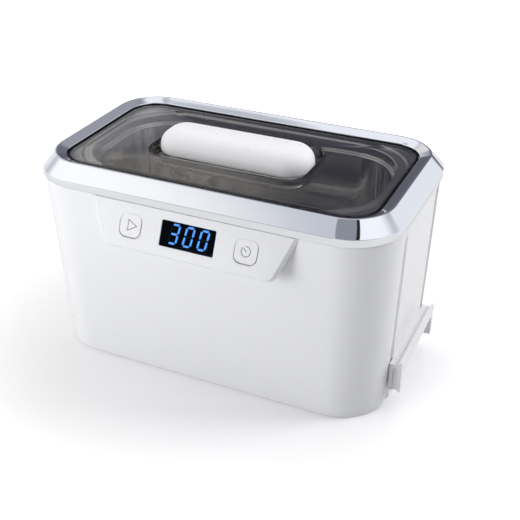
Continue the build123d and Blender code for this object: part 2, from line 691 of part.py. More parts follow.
def heat_sink():
    """The finned aluminium heat sink."""
    x, y = HEAT_SINK_AT
    sink = bar((x - 2, x + 2), (y - 14, y + 14), (BOARD_TOP, BOARD_TOP + 25))
    for row in range(7):
        fin_y = y - 13.4 + row * 4.5
        sink += bar((x - 9, x), (fin_y - 0.7, fin_y + 0.7), (BOARD_TOP, BOARD_TOP + 25))
    return sink


def power_transistors():
    """The two transistors on the heat sink, each with a case, a tab and three legs."""
    x = HEAT_SINK_AT[0] + 2
    parts = []
    for side in (-1, 1):
        y = HEAT_SINK_AT[1] + side * 7.0
        one = bar((x, x + 4.4), (y - 5, y + 5), (BOARD_TOP + 4, BOARD_TOP + 13))
        one += bar((x, x + 1.3), (y - 5, y + 5), (BOARD_TOP + 13, BOARD_TOP + 19))
        for leg in (-2.54, 0, 2.54):
            one += bar((x + 2.0, x + 2.5), (y + leg - 0.4, y + leg + 0.4), (BOARD_TOP, BOARD_TOP + 4.5))
        parts.append(one)
    return Part() + parts


def filter_capacitors():
    """The two smoothing capacitors with a scored top."""
    cans = []
    for x, y in CAPACITORS_AT:
        can = fillet(rod(8.0, BOARD_TOP, BOARD_TOP + 26, x, y).edges().group_by(Axis.Z)[-1], 0.9)
        cans.append(can - Pos(x, y, BOARD_TOP + 26) * (Box(10, 0.6, 0.6) + Box(0.6, 10, 0.6)))
    return Part() + cans


def fuse():
    """The cartridge fuse in its two clips."""
    x, y = FUSE_AT
    z = BOARD_TOP + 5
    cartridge = Pos(x, y, z) * Rot(0, 90, 0) * Cylinder(2.4, 12)
    for end_x in (x - 7.0, x + 7.0):
        cartridge += Pos(end_x, y, z) * Rot(0, 90, 0) * Cylinder(2.6, 4.0)
        cartridge += bar((end_x - 1.6, end_x + 1.6), (y - 3, y + 3), (BOARD_TOP, z - 0.6))
    return cartridge


def choke():
    """The tuning choke: a ferrite ring with its winding."""
    x, y = CHOKE_AT
    coil = Pos(x, y, BOARD_TOP + 4.5) * Torus(6.5, 3.4)
    return coil + [rod(0.5, BOARD_TOP, BOARD_TOP + 4.5, x + side * 6.5, y) for side in (-1, 1)]


def transformer_core():
    """The stacked core of the output transformer on its two-footed frame."""
    x, y = TRANSFORMER_AT
    foot = BASE_TOP + 3
    core = bar((x - 21, x + 21), (y - 9, y + 9), (foot + 1.2, foot + 36))
    for middle in (x - 10.5, x + 10.5):
        core -= bar((middle - 3.5, middle + 3.5), (y - 10, y + 10), (foot + 8.2, foot + 29))
    frame = bar((x - 31, x + 31), (y - 9, y + 9), (foot, foot + 1.2))
    frame -= [rod(1.6, foot - 1, foot + 3, fx, fy) for fx, fy in TRANSFORMER_FEET]
    return core + frame


def transformer_winding():
    """The wound bobbin round the middle limb."""
    x, y = TRANSFORMER_AT
    foot = BASE_TOP + 3
    coil = Pos(x, y, foot + 8.4) * extrude(RectangleRounded(27.6, 38, 5), 20.4)
    return coil - bar((x - 7.05, x + 7.05), (y - 9.05, y + 9.05), (foot, foot + 40))


def transformer_screws():
    """The two screws of the transformer's frame."""
    one = Rot(180, 0, 0) * screw(1.05, 5.5, 2.6, 1.6)
    return Part() + [Pos(x, y, BASE_TOP + 4.2) * one for x, y in TRANSFORMER_FEET]


def transformer_leads():
    """The leads from the transformer round the transducer to the power board."""
    leads = []
    for order in (0, 1):
        x = TRANSFORMER_AT[0] + 2 + order * 5
        z = BASE_TOP + 26 - order * 5
        end_x = POWER_BOARD[0][0] + 4 + (1 - order) * 3.2
        points = [(x, 19, z), (x, 27, z), (x + 14, 31, z - 1), (0, 32, z - 2)]
        points += [(end_x - 8, 27, z - 1.5), (end_x, 20, z - 2.5), (end_x, 20, BOARD_TOP)]
        leads.append(wire(0.9, points, [5, 7, 12, 9, 3]))
    return Part() + leads


# ---- mains entry and cord hook ------------------------------------------------------------
def rear_wall_y(z):
    """The outer face of the rear wall at height z."""
    return body_outline(z)[1] / 2


def cord_gland():
    """The rubber gland in the rear wall, with the bore that a mains cord passes through."""
    wall = rear_wall_y(GLAND_Z)
    inside = wall - WALL
    flange = (7.6, wall + 0.35, wall + 3.4)
    neck = (5.95, inside - 0.6, wall + 1.0)
    collar = (7.2, inside - 2.6, inside - 0.35)
    gland = Part()
    for radius, y0, y1 in (flange, neck, collar):
        gland += Pos(GLAND_X, (y0 + y1) / 2, GLAND_Z) * Rot(90, 0, 0) * Cylinder(radius, y1 - y0)
    return gland - Pos(GLAND_X, wall, GLAND_Z) * Rot(90, 0, 0) * Cylinder(GLAND_BORE_R, 20)


def cord_wrap_hook():
    """The hook that the mains cord is wound on: back, shelf, raised outer lip and two end plates."""
    back_x = SIDE_X + SIDE_SLOPE * HOOK_SHELF_TOP
    rim_x = (HOOK_OUTER_X - HOOK_RIM, HOOK_OUTER_X)
    across = (-HOOK_HALF, HOOK_HALF)
    shelf = bar((back_x, HOOK_OUTER_X), across, (HOOK_SHELF_TOP - 2.5, HOOK_SHELF_TOP))
    hook = shelf + bar((back_x, back_x + 1.8), across, (HOOK_FOOT_Z, HOOK_SHELF_TOP))
    hook += bar(rim_x, across, (HOOK_SHELF_TOP - 4.8, HOOK_SHELF_TOP + 2.0))
    for side in (-1, 1):
        rib = sorted((side * HOOK_HALF, side * (HOOK_HALF - HOOK_SHEET)))
        plate = [y - side * HOOK_POCKET for y in rib]
        hook += bar(rim_x, rib, (HOOK_FOOT_Z, HOOK_SHELF_TOP))
        hook += bar((back_x, HOOK_OUTER_X), plate, (HOOK_FOOT_Z, HOOK_SHELF_TOP))
    for y, z in HOOK_SCREWS:
        hook += Pos(back_x + 1.0, y, z) * Rot(0, 90, 0) * Cylinder(2.9, 2.0)
        hook -= Pos(back_x, y, z) * Rot(0, 90, 0) * Cylinder(PILOT_R, 3.6)
    # the back follows the slope of the wall
    reach = 20
    wall = [(back_x - 8, 0), (SIDE_X, 0)]
    wall += [(back_x + SIDE_SLOPE * reach, HOOK_SHELF_TOP + reach), (back_x - 8, HOOK_SHELF_TOP + reach)]
    return hook - extrude(Plane.XZ * make_face(Polyline(*wall, close=True)), HOOK_HALF + 2, both=True)


def hook_screws():
    """The two screws that hold the cord hook from inside the case."""
    found = []
    for y, z in HOOK_SCREWS:
        seat = SIDE_X + SIDE_SLOPE * (z - 2.7) - WALL
        found.append(Pos(seat, y, z) * Rot(0, 90, 0) * screw(PILOT_R, 4.4, 2.6, 1.6))
    return Part() + found


def trim_ring_screws():
    """The eight screws that hold the ring from under the ledge."""
    one = screw(PILOT_R, 7.0, 2.0, 1.5)
    return Part() + [Pos(x, y, LEDGE_UNDERSIDE) * one for x, y in RING_SCREWS]


PARTS = {
    "body_shell": body_shell,
    "base_plate": base_plate,
    "base_screws": base_screws,
    "rubber_feet": rubber_feet,
    "trim_ring": trim_ring,
    "trim_ring_screws": trim_ring_screws,
    "tank": tank,
    "tank_gasket": tank_gasket,
    "lid_cover": lid_cover,
    "lid_gasket": lid_gasket,
    "lid_handle": lid_handle,
    "handle_washers": handle_washers,
    "handle_screws": handle_screws,
    "control_console": control_console,
    "console_screws": console_screws,
    "display_window": display_window,
    "display_module": display_module,
    "lit_segments": lambda: segments(True),
    "dark_segments": lambda: segments(False),
    "start_button": lambda: push_key(-1, start_icon()),
    "start_icon": start_icon,
    "timer_button": lambda: push_key(1, timer_icon()),
    "timer_icon": timer_icon,
    "control_board": control_board,
    "control_board_screws": control_board_screws,
    "control_socket": control_socket,
    "tact_switches": tact_switches,
    "display_cable": display_cable,
    "cord_wrap_hook": cord_wrap_hook,
    "hook_screws": hook_screws,
    "cord_gland": cord_gland,
    "power_board": power_board,
    "power_board_screws": power_board_screws,
    "terminal_blocks": terminal_blocks,
    "heat_sink": heat_sink,
    "power_transistors": power_transistors,
    "filter_capacitors": filter_capacitors,
    "fuse": fuse,
    "choke": choke,
    "transformer_core": transformer_core,
    "transformer_winding": transformer_winding,
    "transformer_screws": transformer_screws,
    "transformer_leads": transformer_leads,
    "transducer_front_mass": transducer_front_mass,
    "piezo_rings": piezo_rings,
    "electrode_tabs": electrode_tabs,
    "transducer_back_mass": transducer_back_mass,
    "transducer_bolt": transducer_bolt,
    "transducer_leads": transducer_leads,
}

os.makedirs("parts", exist_ok=True)
for node, make in PARTS.items():
    export_step(make(), f"parts/{node}.step")
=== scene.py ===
import bmesh
import bpy
import json
from math import atan2, cos, hypot, pi, radians, sin, sqrt, tan
from mathutils import Matrix, Vector


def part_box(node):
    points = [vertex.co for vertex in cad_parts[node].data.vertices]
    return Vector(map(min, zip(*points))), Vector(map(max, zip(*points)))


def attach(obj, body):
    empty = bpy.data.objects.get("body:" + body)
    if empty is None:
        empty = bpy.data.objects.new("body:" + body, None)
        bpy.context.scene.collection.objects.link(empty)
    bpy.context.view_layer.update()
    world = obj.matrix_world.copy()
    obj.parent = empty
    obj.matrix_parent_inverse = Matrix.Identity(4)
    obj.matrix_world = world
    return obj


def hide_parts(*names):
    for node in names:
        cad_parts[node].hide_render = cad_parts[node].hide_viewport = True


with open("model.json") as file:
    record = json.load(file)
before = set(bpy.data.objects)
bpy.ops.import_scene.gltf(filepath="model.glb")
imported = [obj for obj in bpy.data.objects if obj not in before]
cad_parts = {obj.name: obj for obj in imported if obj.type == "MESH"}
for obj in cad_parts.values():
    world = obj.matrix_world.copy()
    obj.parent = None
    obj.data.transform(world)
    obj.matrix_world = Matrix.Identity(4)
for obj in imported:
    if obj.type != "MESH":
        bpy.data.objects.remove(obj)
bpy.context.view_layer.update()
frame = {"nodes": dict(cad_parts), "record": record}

# ---- driving dimensions, in millimetres -------------------------------------------------------
MM = 0.001


def low(node):
    """A CAD node's lowest corner, in millimetres."""
    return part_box(node)[0] / MM


def high(node):
    """A CAD node's highest corner, in millimetres."""
    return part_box(node)[1] / MM


def outline_of(node, radius):
    """A CAD node's width and depth, with a corner radius."""
    span = high(node) - low(node)
    return (span.x, span.y, radius)


# case; an outline is a width, a depth and a corner radius
BODY_FOOT = (197.0, 108.8, 28.1)
BODY_HEAD = (203.0, 118.8, 29.3)
RING_BOTTOM = low("trim_ring").z
BODY_TOP = RING_BOTTOM - 0.4
WALL = 2.4
LEDGE_UNDERSIDE = BODY_TOP - WALL
SEAT_OUTLINE = (188.0, 104.0, 22.0)
SEAT_TOP = high("body_shell").z
TANK_CUTOUT = (167.0, 86.0, 32.0)
CASE_FOOT_LAND = 5.0
CASE_FOOT_ROUND = 1.1
CASE_HEIGHTS = (6, 14, 24, 36, 50, 64, 78, 90)
CASE_HEAD_DROP = 1.0
CASE_HEAD_RUN = 4.0
CASE_HEAD_ROUND = 0.5
INNER_HEIGHTS = (LEDGE_UNDERSIDE, 80, 50, 20)
CORNER_LEAD = 0.4                     # plain wall between the grooves and the corners' arcs
GROOVE_EDGE = 30.6                    # half the distance between the two grooves' outer edges
GROOVE_FLOOR = 3.5
GROOVE_DEPTH = 1.6
GROOVE_RAMP = GROOVE_EDGE - GROOVE_FLOOR
GROOVE_DRAFT = 0.02
GROOVE_MARGIN = 2.0                   # plain wall kept beside a groove
GROOVE_TOP = BODY_TOP - 1.5
GROOVE_RUNOUT = 9.0                   # height over which a groove fades out below its top
FRONT_OPENING = (47.5, 87.0, 102.5)   # behind the console: half width, bottom and top
FRONT_OPENING_Y = (-70.0, -50.0)

# tank
STEEL = 0.8
FLANGE_OUTLINE = outline_of("tank", 21.5)
FLANGE_TOP = high("tank").z
TANK_MOUTH = (163.0, 82.0, 30.0)
TANK_WELL = (158.4, 77.4, 27.7)
BEAD_Z = FLANGE_TOP - 5.4
TANK_FLOOR = low("tank").z + STEEL
TANK_FLOOR_RADIUS = 9.0
TANK_FLOOR_CAP = 12.0                 # half the depth of the face that closes the floor
CHANNEL = 0.65                        # depth of the sloped channel pressed into the flange
CHANNEL_FLOOR = 2.0                   # the channel's floor and outer edge, from the mouth
CHANNEL_LAND = 0.3
CHANNEL_EDGE = 2.6

# chrome ring
RING_OUTLINE = outline_of("trim_ring", 30.3)
RING_TOP = high("trim_ring").z
RING_BAND_TOP = RING_BOTTOM + 4.2
RING_SLOPE = 7.2
RING_LAND = 0.9
RING_CORNER_STEPS = 28
RING_MOUTH_INSET = 13.4
RING_MOUTH_TOP = RING_TOP - 2.1
RING_SKIN = 2.1
RING_FOOT = FLANGE_TOP + 0.02         # the skirt stands on the tank's flange
RING_SKIRT_TOP = FLANGE_TOP + 1.5     # the ring's hollow underside: skirt, crown and shoulder
RING_CROWN = (RING_SLOPE + 1.2, RING_TOP - 2.4)
RING_SHOULDER = RING_BAND_TOP - 0.9

# lid
LID_OUTLINE = outline_of("lid_cover", 15.2)
LID_BORDER = (168.0, 84.0, 13.0)
LID_SHEET = 1.8
LID_BORDER_TOP = FLANGE_TOP + 2.4
WELL_RIM = (90.4, 45.2, 12.0)
WELL_FLOOR = (89.2, 41.2, 12.0)
WELL_RIM_TOP = high("lid_cover").z
WELL_FLOOR_TOP = low("lid_cover").z + LID_SHEET
WELL_LAND = 2.0
WELL_WALL_RUN = 1.2                   # how far the well's wall leans out
WELL_MIDDLE = 14.0                    # from the well's wall to the cap of its floor
WELL_FLOOR_ROUND = 2.0
WELL_RIM_ROUND = 0.9
WELL_NECK = (0.7, 0.9)                # below the rim outside: share of the wall's lean, and drop
WELL_TURN = ((0, 1.6), (-0.5, 0.5), (-1.6, 0))  # the foot's outer turn: distances out and up
CROWN_STEPS = 8
CROWN_POWER = 1.25                    # how the lid falls from the well's rim to its border
LID_EDGE = 3.4
UNDERSIDE_START = 0.6                 # the crown's underside starts inside the well's rim
UNDERSIDE_LAP = 1.5                   # and ends inside the border
SEAL_OUTLINE = outline_of("lid_gasket", 16.5)
SEAL_SEAT = 1.31
SEAL_LIP = 1.24
SEAL_TOP = LID_BORDER_TOP - 0.3
SEAL_GAP = 0.03
GRIP_X = (low("lid_handle").x + high("lid_handle").x) / 2
HANDLE = outline_of("lid_handle", 12.6)
HANDLE_TOP = high("lid_handle").z
HANDLE_BOTTOM = WELL_FLOOR_TOP + 1.8
HANDLE_SHOULDER = HANDLE_BOTTOM + 3.0
HANDLE_POWER = 2.35                   # squareness of the grip's section
HANDLE_STEPS = 22
HANDLE_RIDGE = 0.4                    # half the width of the flat along the top
HANDLE_UNDER = 7.0                    # half the width of the flat below
HANDLE_UNDER_RISE = 8.0
HANDLE_UNDER_ROUND = 2.4
HANDLE_GAP = 0.3
PEDESTAL = (66.0, 14.0, 6.5)
PEDESTAL_FLARE = (0.4, 0.25)          # how far out and up the pedestal meets the grip

# console; v is a distance down the tilted face
FACE_TILT = radians(24.33)
FACE_Y = -59.85
FACE_LENGTH = 25.0
CONSOLE_TOP_HALF = 57.9
CONSOLE_BOTTOM_HALF = 48.2
CONSOLE_CORNER = 6.0
CONSOLE_BEVEL = 1.7
CONSOLE_RIM = 5.0                     # how far in and back the bevelled rim is drawn
CONSOLE_ROUND = 0.6
CONSOLE_WALL = 2.2
CONSOLE_GAP = 0.02                    # between the console and the case
CONSOLE_SIDE_STEPS = 6
CONSOLE_LONG_STEPS = 10
HOLLOW_BACK = -30.0
HOLE_BEVEL = 0.22
FACE_WALL = 2.0
LENS = 1.5
LENS_BEVEL = 0.15
LENS_GAP = 0.03
WINDOW = (30.3, 13.3, 0.8)
WINDOW_X, WINDOW_V = 0.2, 11.65
KEY = (12.0, 11.8, 3.5)
KEY_GAP = 0.3
KEY_X, KEY_V = 32.4, 12.0

# cord gland
GLAND_X = (low("cord_gland").x + high("cord_gland").x) / 2
GLAND_Z = (low("cord_gland").z + high("cord_gland").z) / 2
GLAND_NECK = 6.0
GLAND_BORE = (-6.0, 4.0)              # the ends of its hole, from the rear wall's face

HAIR = 0.01                           # keeps two surfaces from falling together
CLEAR = 1.0                           # how far a cutting piece reaches past a face


# ---- outlines and skins -----------------------------------------------------------------------
CORNER_STEPS = 16
SIDE_STEPS = 5
SMOOTH_ANGLE = 32.0
QUARTERS = ((1, 1), (-1, 1), (-1, -1), (1, -1))


def grown(size, by):
    """The same rounded rectangle, moved outwards by a distance."""
    width, depth, radius = size
    return (width + 2 * by, depth + 2 * by, max(radius + by, 0.05))


def mixed(a, b, share):
    """An outline part of the way from a to b."""
    return tuple(p + (q - p) * share for p, q in zip(a, b))


def loop(size, z, x=0.0, corner_steps=CORNER_STEPS):
    """The points of a rounded rectangle at height z, anticlockwise."""
    width, depth, radius = size
    cx, cy = width / 2 - radius, depth / 2 - radius
    arcs = []
    for quarter, (sx, sy) in enumerate(QUARTERS):
        angles = [(quarter + step / corner_steps) * pi / 2 for step in range(corner_steps + 1)]
        mx, my = x + sx * cx, sy * cy
        arcs.append([Vector((mx + radius * cos(a), my + radius * sin(a), z)) for a in angles])
    points = []
    for quarter, arc in enumerate(arcs):
        after = arcs[(quarter + 1) % 4][0]
        points += arc
        points += [arc[-1].lerp(after, step / SIDE_STEPS) for step in range(1, SIDE_STEPS)]
    return points


def rounded(corners, steps=5):
    """A section's (across, up) points, from corners that each hold across, up and a rounding."""
    found = []
    points = [Vector((across, up)) for across, up, _ in corners]
    for index, here in enumerate(points):
        radius = corners[index][2]
        if radius <= 0:
            found.append(tuple(here))
            continue
        to_a = points[index - 1] - here
        to_b = points[(index + 1) % len(points)] - here
        room = min(to_a.length, to_b.length) * 0.49
        to_a.normalize()
        to_b.normalize()
        half = to_a.angle(to_b) / 2
        reach = min(radius / tan(half), room)
        centre = here + (to_a + to_b).normalized() * (reach / cos(half))
        a, b = here + to_a * reach - centre, here + to_b * reach - centre
        start = atan2(a.y, a.x)
        turn = (atan2(b.y, b.x) - start + pi) % (2 * pi) - pi
        for step in range(steps + 1):
            angle = start + turn * step / steps
            found.append((centre.x + a.length * cos(angle), centre.y + a.length * sin(angle)))
    return found


def mesh_object(name, vertices, faces, smooth_angle=SMOOTH_ANGLE):
    """A mesh piece from points in millimetres."""
    mesh = bpy.data.meshes.new(name)
    mesh.from_pydata([tuple(v * MM for v in p) for p in vertices], [], faces)
    thing = bpy.data.objects.new(name, mesh)
    bpy.context.scene.collection.objects.link(thing)
    clean(thing, smooth_angle)
    return thing


def clean(thing, smooth_angle=SMOOTH_ANGLE):
    """Merges doubles, points the faces outwards and shades them smooth up to an angle."""
    work = bmesh.new()
    work.from_mesh(thing.data)
    bmesh.ops.remove_doubles(work, verts=work.verts, dist=0.004 * MM)
    bmesh.ops.dissolve_degenerate(work, edges=work.edges, dist=0.002 * MM)
    bmesh.ops.recalc_face_normals(work, faces=work.faces)
    for face in work.faces:
        face.smooth = True
    for edge in work.edges:
        edge.smooth = len(edge.link_faces) == 2 and edge.calc_face_angle(0.0) < radians(smooth_angle)
    work.to_mesh(thing.data)
    work.free()


def skin(name, loops, closed=False, smooth_angle=SMOOTH_ANGLE):
    """A piece from loops of equal count: a bar with flat ends, or closed on itself like a ring."""
    count = len(loops[0])
    vertices = [p for points in loops for p in points]
    faces = []
    rows = len(loops) if closed else len(loops) - 1
    for row in range(rows):
        a, b = row * count, (row + 1) % len(loops) * count
        faces += [(a + i, a + (i + 1) % count, b + (i + 1) % count, b + i) for i in range(count)]
    if not closed:
        faces.append(tuple(range(count))[::-1])
        faces.append(tuple(range((len(loops) - 1) * count, len(loops) * count)))
    return mesh_object(name, vertices, faces, smooth_angle)


def cut(thing, cutters, smooth_angle=SMOOTH_ANGLE):
    """Cuts other pieces out of a piece, and removes them."""
    for cutter in cutters:
        step = thing.modifiers.new("cut", "BOOLEAN")
        step.operation = "DIFFERENCE"
        step.solver = "EXACT"
        step.object = cutter
    bpy.context.view_layer.update()
    shape = thing.evaluated_get(bpy.context.evaluated_depsgraph_get())
    mesh = bpy.data.meshes.new_from_object(shape)
    thing.modifiers.clear()
    old, thing.data = thing.data, mesh
    bpy.data.meshes.remove(old)
    for cutter in cutters:
        bpy.data.objects.remove(cutter)
    clean(thing, smooth_angle)
    return thing


# ---- housing pieces ---------------------------------------------------------------------------
def body_size(z):
    """The case's outline at height z."""
    return mixed(BODY_FOOT, BODY_HEAD, z / RING_BOTTOM)


# from a groove's plain side to the middle of the wall: distance from the middle, depth and rounding
GROOVE_SECTION = rounded((
    (GROOVE_EDGE + GROOVE_MARGIN, 0, 0),
    (GROOVE_EDGE, 0, 0.4),
    (GROOVE_EDGE - GROOVE_DRAFT, GROOVE_DEPTH, 0.3),
    (GROOVE_RAMP, GROOVE_DEPTH, 0.8),
    (GROOVE_RAMP - GROOVE_DEPTH, 0, 0.5),
    (GROOVE_EDGE / 3, 0, 0),
))


def case_loop(z, inset, share):
    """One loop of the case's wall, with a share of the depth of the two grooves in its right side."""
    width, depth, radius = grown(body_size(z), -inset)
    cx, cy = width / 2 - radius, depth / 2 - radius

    def side_at(y, sunk):
        beyond = max(abs(y) - cy, 0.0)
        return Vector((cx + sqrt(radius * radius - beyond * beyond) - sunk * share, y, z))

    points = [side_at(-away, sunk) for away, sunk in GROOVE_SECTION]
    points += [side_at(away, sunk) for away, sunk in reversed(GROOVE_SECTION)]
    first = atan2(max(GROOVE_EDGE + GROOVE_MARGIN - cy, 0.0) + CORNER_LEAD, radius)
    turns = (first, pi / 2, pi, 1.5 * pi, 2 * pi - first)
    last = None
    for (sx, sy), start, end in zip(QUARTERS, turns, turns[1:]):
        angles = [start + (end - start) * step / CORNER_STEPS for step in range(CORNER_STEPS + 1)]
        arc = [Vector((sx * cx + radius * cos(a), sy * cy + radius * sin(a), z)) for a in angles]
        if last:
            points += [last.lerp(arc[0], step / SIDE_STEPS) for step in range(1, SIDE_STEPS)]
        points += arc
        last = arc[-1]
    return points


def groove_at(z):
    """How much of the grooves' depth is left at height z: they run out towards the ring."""
    return min(max((GROOVE_TOP - z) / GROOVE_RUNOUT, 0.0), 1.0)


def make_case():
    """The white case: tapered walls, an inward ledge and a raised seat for the tank."""
    runout = [GROOVE_TOP - GROOVE_RUNOUT * share / 3 for share in (3, 2, 1, 0)]
    foot = rounded(((WALL, 0, 0), (0, 0, CASE_FOOT_ROUND), (0, CASE_FOOT_LAND, 0)))
    edge = (0, BODY_TOP, CASE_HEAD_ROUND)
    head = rounded(((0, BODY_TOP - CASE_HEAD_DROP, 0), edge, (CASE_HEAD_RUN, BODY_TOP, 0)))
    section = foot + [(0, z) for z in (*CASE_HEIGHTS, *runout)] + head
    loops = [case_loop(z, inset, groove_at(z)) for inset, z in section]
    loops += [flat_loop(SEAT_OUTLINE, z) for z in (BODY_TOP, SEAT_TOP)]
    loops += [flat_loop(TANK_CUTOUT, z) for z in (SEAT_TOP, LEDGE_UNDERSIDE)]
    loops += [case_loop(z, WALL, 0.0) for z in INNER_HEIGHTS]
    case = skin("case", loops, closed=True)
    rear = body_size(GLAND_Z)[1] / 2
    ends = [Vector((GLAND_X, rear + reach, GLAND_Z)) for reach in GLAND_BORE]
    hole = skin("gland_hole", [ring_about(point, GLAND_NECK) for point in ends])
    opening = skin("front_opening", [box_loop(*FRONT_OPENING, y) for y in FRONT_OPENING_Y])
    return cut(case, [hole, opening])


def flat_loop(size, z):
    """A plain rounded rectangle with as many points as a loop of the case."""
    return [meet(size, atan2(point.y, point.x), z) for point in case_loop(z, 0, 0.0)]


def meet(size, angle, z):
    """Where a ray from the middle at an angle crosses a rounded rectangle."""
    width, depth, radius = size
    cx, cy = width / 2 - radius, depth / 2 - radius
    near, far = 0.0, hypot(width, depth)
    for _ in range(40):
        middle = (near + far) / 2
        x, y = abs(middle * cos(angle)), abs(middle * sin(angle))
        inside = hypot(max(x - cx, 0), max(y - cy, 0)) < radius and x < width / 2 and y < depth / 2
        near, far = (middle, far) if inside else (near, middle)
    return Vector((near * cos(angle), near * sin(angle), z))


def ring_about(centre, radius, steps=48):
    """A circle square to the Y axis."""
    angles = [2 * pi * step / steps for step in range(steps)]
    return [centre + Vector((radius * cos(a), 0, radius * sin(a))) for a in angles]


def box_loop(half, z0, z1, y):
    """A rectangle square to the Y axis."""
    return [Vector((x, y, z)) for x, z in ((-half, z0), (half, z0), (half, z1), (-half, z1))]


def make_ring():
    """The chrome ring: upright band, outer slope, narrow land, inner slope and skirt."""
    # inset, height and rounding
    section = rounded((
        (0, RING_BOTTOM, 0.35),
        (0, RING_BAND_TOP, 0.5),
        (RING_SLOPE, RING_TOP, 0.7),
        (RING_SLOPE + RING_LAND, RING_TOP, 0.4),
        (RING_MOUTH_INSET, RING_MOUTH_TOP, 0.5),
        (RING_MOUTH_INSET, RING_FOOT, 0.2),
        (RING_MOUTH_INSET - RING_SKIN, RING_FOOT, 0.2),
        (RING_MOUTH_INSET - RING_SKIN, RING_SKIRT_TOP, 0),
        (*RING_CROWN, 0),
        (RING_SKIN, RING_SHOULDER, 0),
        (RING_SKIN, RING_BOTTOM, 0.3),
    ))
    sizes = [(grown(RING_OUTLINE, -inset), z) for inset, z in section]
    loops = [loop(size, z, corner_steps=RING_CORNER_STEPS) for size, z in sizes]
    return skin("chrome_ring", loops, closed=True)


def make_tank():
    """The drawn steel tank: floor, walls, the step below the mouth and the flange."""
    cap = TANK_FLOOR_CAP - TANK_WELL[1] / 2
    shelf = (TANK_MOUTH[1] - TANK_WELL[1]) / 2
    edge = (FLANGE_OUTLINE[1] - TANK_MOUTH[1]) / 2
    # distance out from the well's wall, height and rounding
    corners = (
        (cap, TANK_FLOOR, 0),
        (0, TANK_FLOOR, TANK_FLOOR_RADIUS),
        (0, BEAD_Z, 1.1),
        (shelf, BEAD_Z, 1.1),
        (shelf, FLANGE_TOP, 0.5),
        (shelf + CHANNEL_FLOOR, FLANGE_TOP - CHANNEL, 0.2),
        (shelf + CHANNEL_FLOOR + CHANNEL_LAND, FLANGE_TOP - CHANNEL, 0.2),
        (shelf + CHANNEL_EDGE, FLANGE_TOP, 0.2),
        (shelf + edge, FLANGE_TOP, 0.3),
        (shelf + edge, FLANGE_TOP - STEEL, 0.3),
        (shelf + STEEL, FLANGE_TOP - STEEL, 0.8),
        (shelf + STEEL, BEAD_Z - STEEL, 0.5),
        (STEEL, BEAD_Z - STEEL, 0.5),
        (STEEL, TANK_FLOOR - STEEL, TANK_FLOOR_RADIUS + STEEL),
        (cap, TANK_FLOOR - STEEL, 0),
    )
    loops = []
    for out, z in rounded(corners, steps=8):
        beyond = min(max((out - shelf) / edge, 0.0), 1.0)
        size = mixed(grown(TANK_WELL, out), FLANGE_OUTLINE, beyond) if beyond else grown(TANK_WELL, out)
        loops.append(loop(size, z))
    return skin("steel_tank", loops)


# ---- lid pieces -------------------------------------------------------------------------------
def crown_loops(inner, outer, top):
    """The lid's crown, from the well's rim at height top out to the border."""
    loops = []
    for step in range(CROWN_STEPS + 1):
        share = step / CROWN_STEPS
        drop = (WELL_RIM_TOP - LID_BORDER_TOP) * share ** CROWN_POWER
        loops.append(loop(mixed(inner, outer, share), top - drop, GRIP_X * (1 - share)))
    return loops


def make_lid():
    """The smoked cover: finger well, gently crowned middle, flat border."""
    height = WELL_RIM_TOP - WELL_FLOOR_TOP
    wall = (
        (-WELL_MIDDLE, 0, 0),
        (0, 0, WELL_FLOOR_ROUND),
        (WELL_WALL_RUN, height, WELL_RIM_ROUND),
        (WELL_WALL_RUN + WELL_LAND, height, 0),
    )
    loops = []
    for out, up in rounded(wall, steps=6)[:-1]:
        base = mixed(WELL_FLOOR, WELL_RIM, min(max(up / height, 0), 1))
        slack = out if up <= 0 else out - WELL_WALL_RUN * up / height
        loops.append(loop(grown(base, slack), WELL_FLOOR_TOP + up, GRIP_X))
    rim = grown(WELL_RIM, WELL_LAND)
    loops += crown_loops(rim, LID_BORDER, WELL_RIM_TOP)
    edge = ((0, 0, 0), (LID_EDGE, 0, 0.45), (LID_EDGE, -LID_SHEET, 0.2), (0, -LID_SHEET, 0))
    for out, up in rounded(edge)[1:]:
        loops.append(loop(grown(LID_OUTLINE, out - LID_EDGE), LID_BORDER_TOP + up))
    inner, outer = grown(rim, -UNDERSIDE_START), grown(LID_BORDER, -UNDERSIDE_LAP)
    loops += reversed(crown_loops(inner, outer, WELL_RIM_TOP - LID_SHEET))
    under = grown(WELL_FLOOR, LID_SHEET)
    share, drop = WELL_NECK
    neck = mixed(under, grown(WELL_RIM, LID_SHEET), share)
    loops.append(loop(neck, WELL_RIM_TOP - LID_SHEET - drop, GRIP_X))
    bottom = WELL_FLOOR_TOP - LID_SHEET
    for out, up in (*WELL_TURN, (-1 - WELL_MIDDLE, 0)):
        loops.append(loop(grown(under, out), bottom + up, GRIP_X))
    return skin("smoked_cover", loops)


def make_seal():
    """The black seal round the lid's edge with its inward lip."""
    lip_top = LID_BORDER_TOP - LID_SHEET - SEAL_GAP
    # inset, height and rounding
    section = rounded((
        (0, FLANGE_TOP, 0.3),
        (0, SEAL_TOP, 0.5),
        (SEAL_SEAT, SEAL_TOP, 0.3),
        (SEAL_SEAT, lip_top, 0),
        (SEAL_SEAT + SEAL_LIP, lip_top, 0.2),
        (SEAL_SEAT + SEAL_LIP, FLANGE_TOP, 0.2),
    ))
    loops = [loop(grown(SEAL_OUTLINE, -inset), z) for inset, z in section]
    return skin("lid_seal", loops, closed=True)


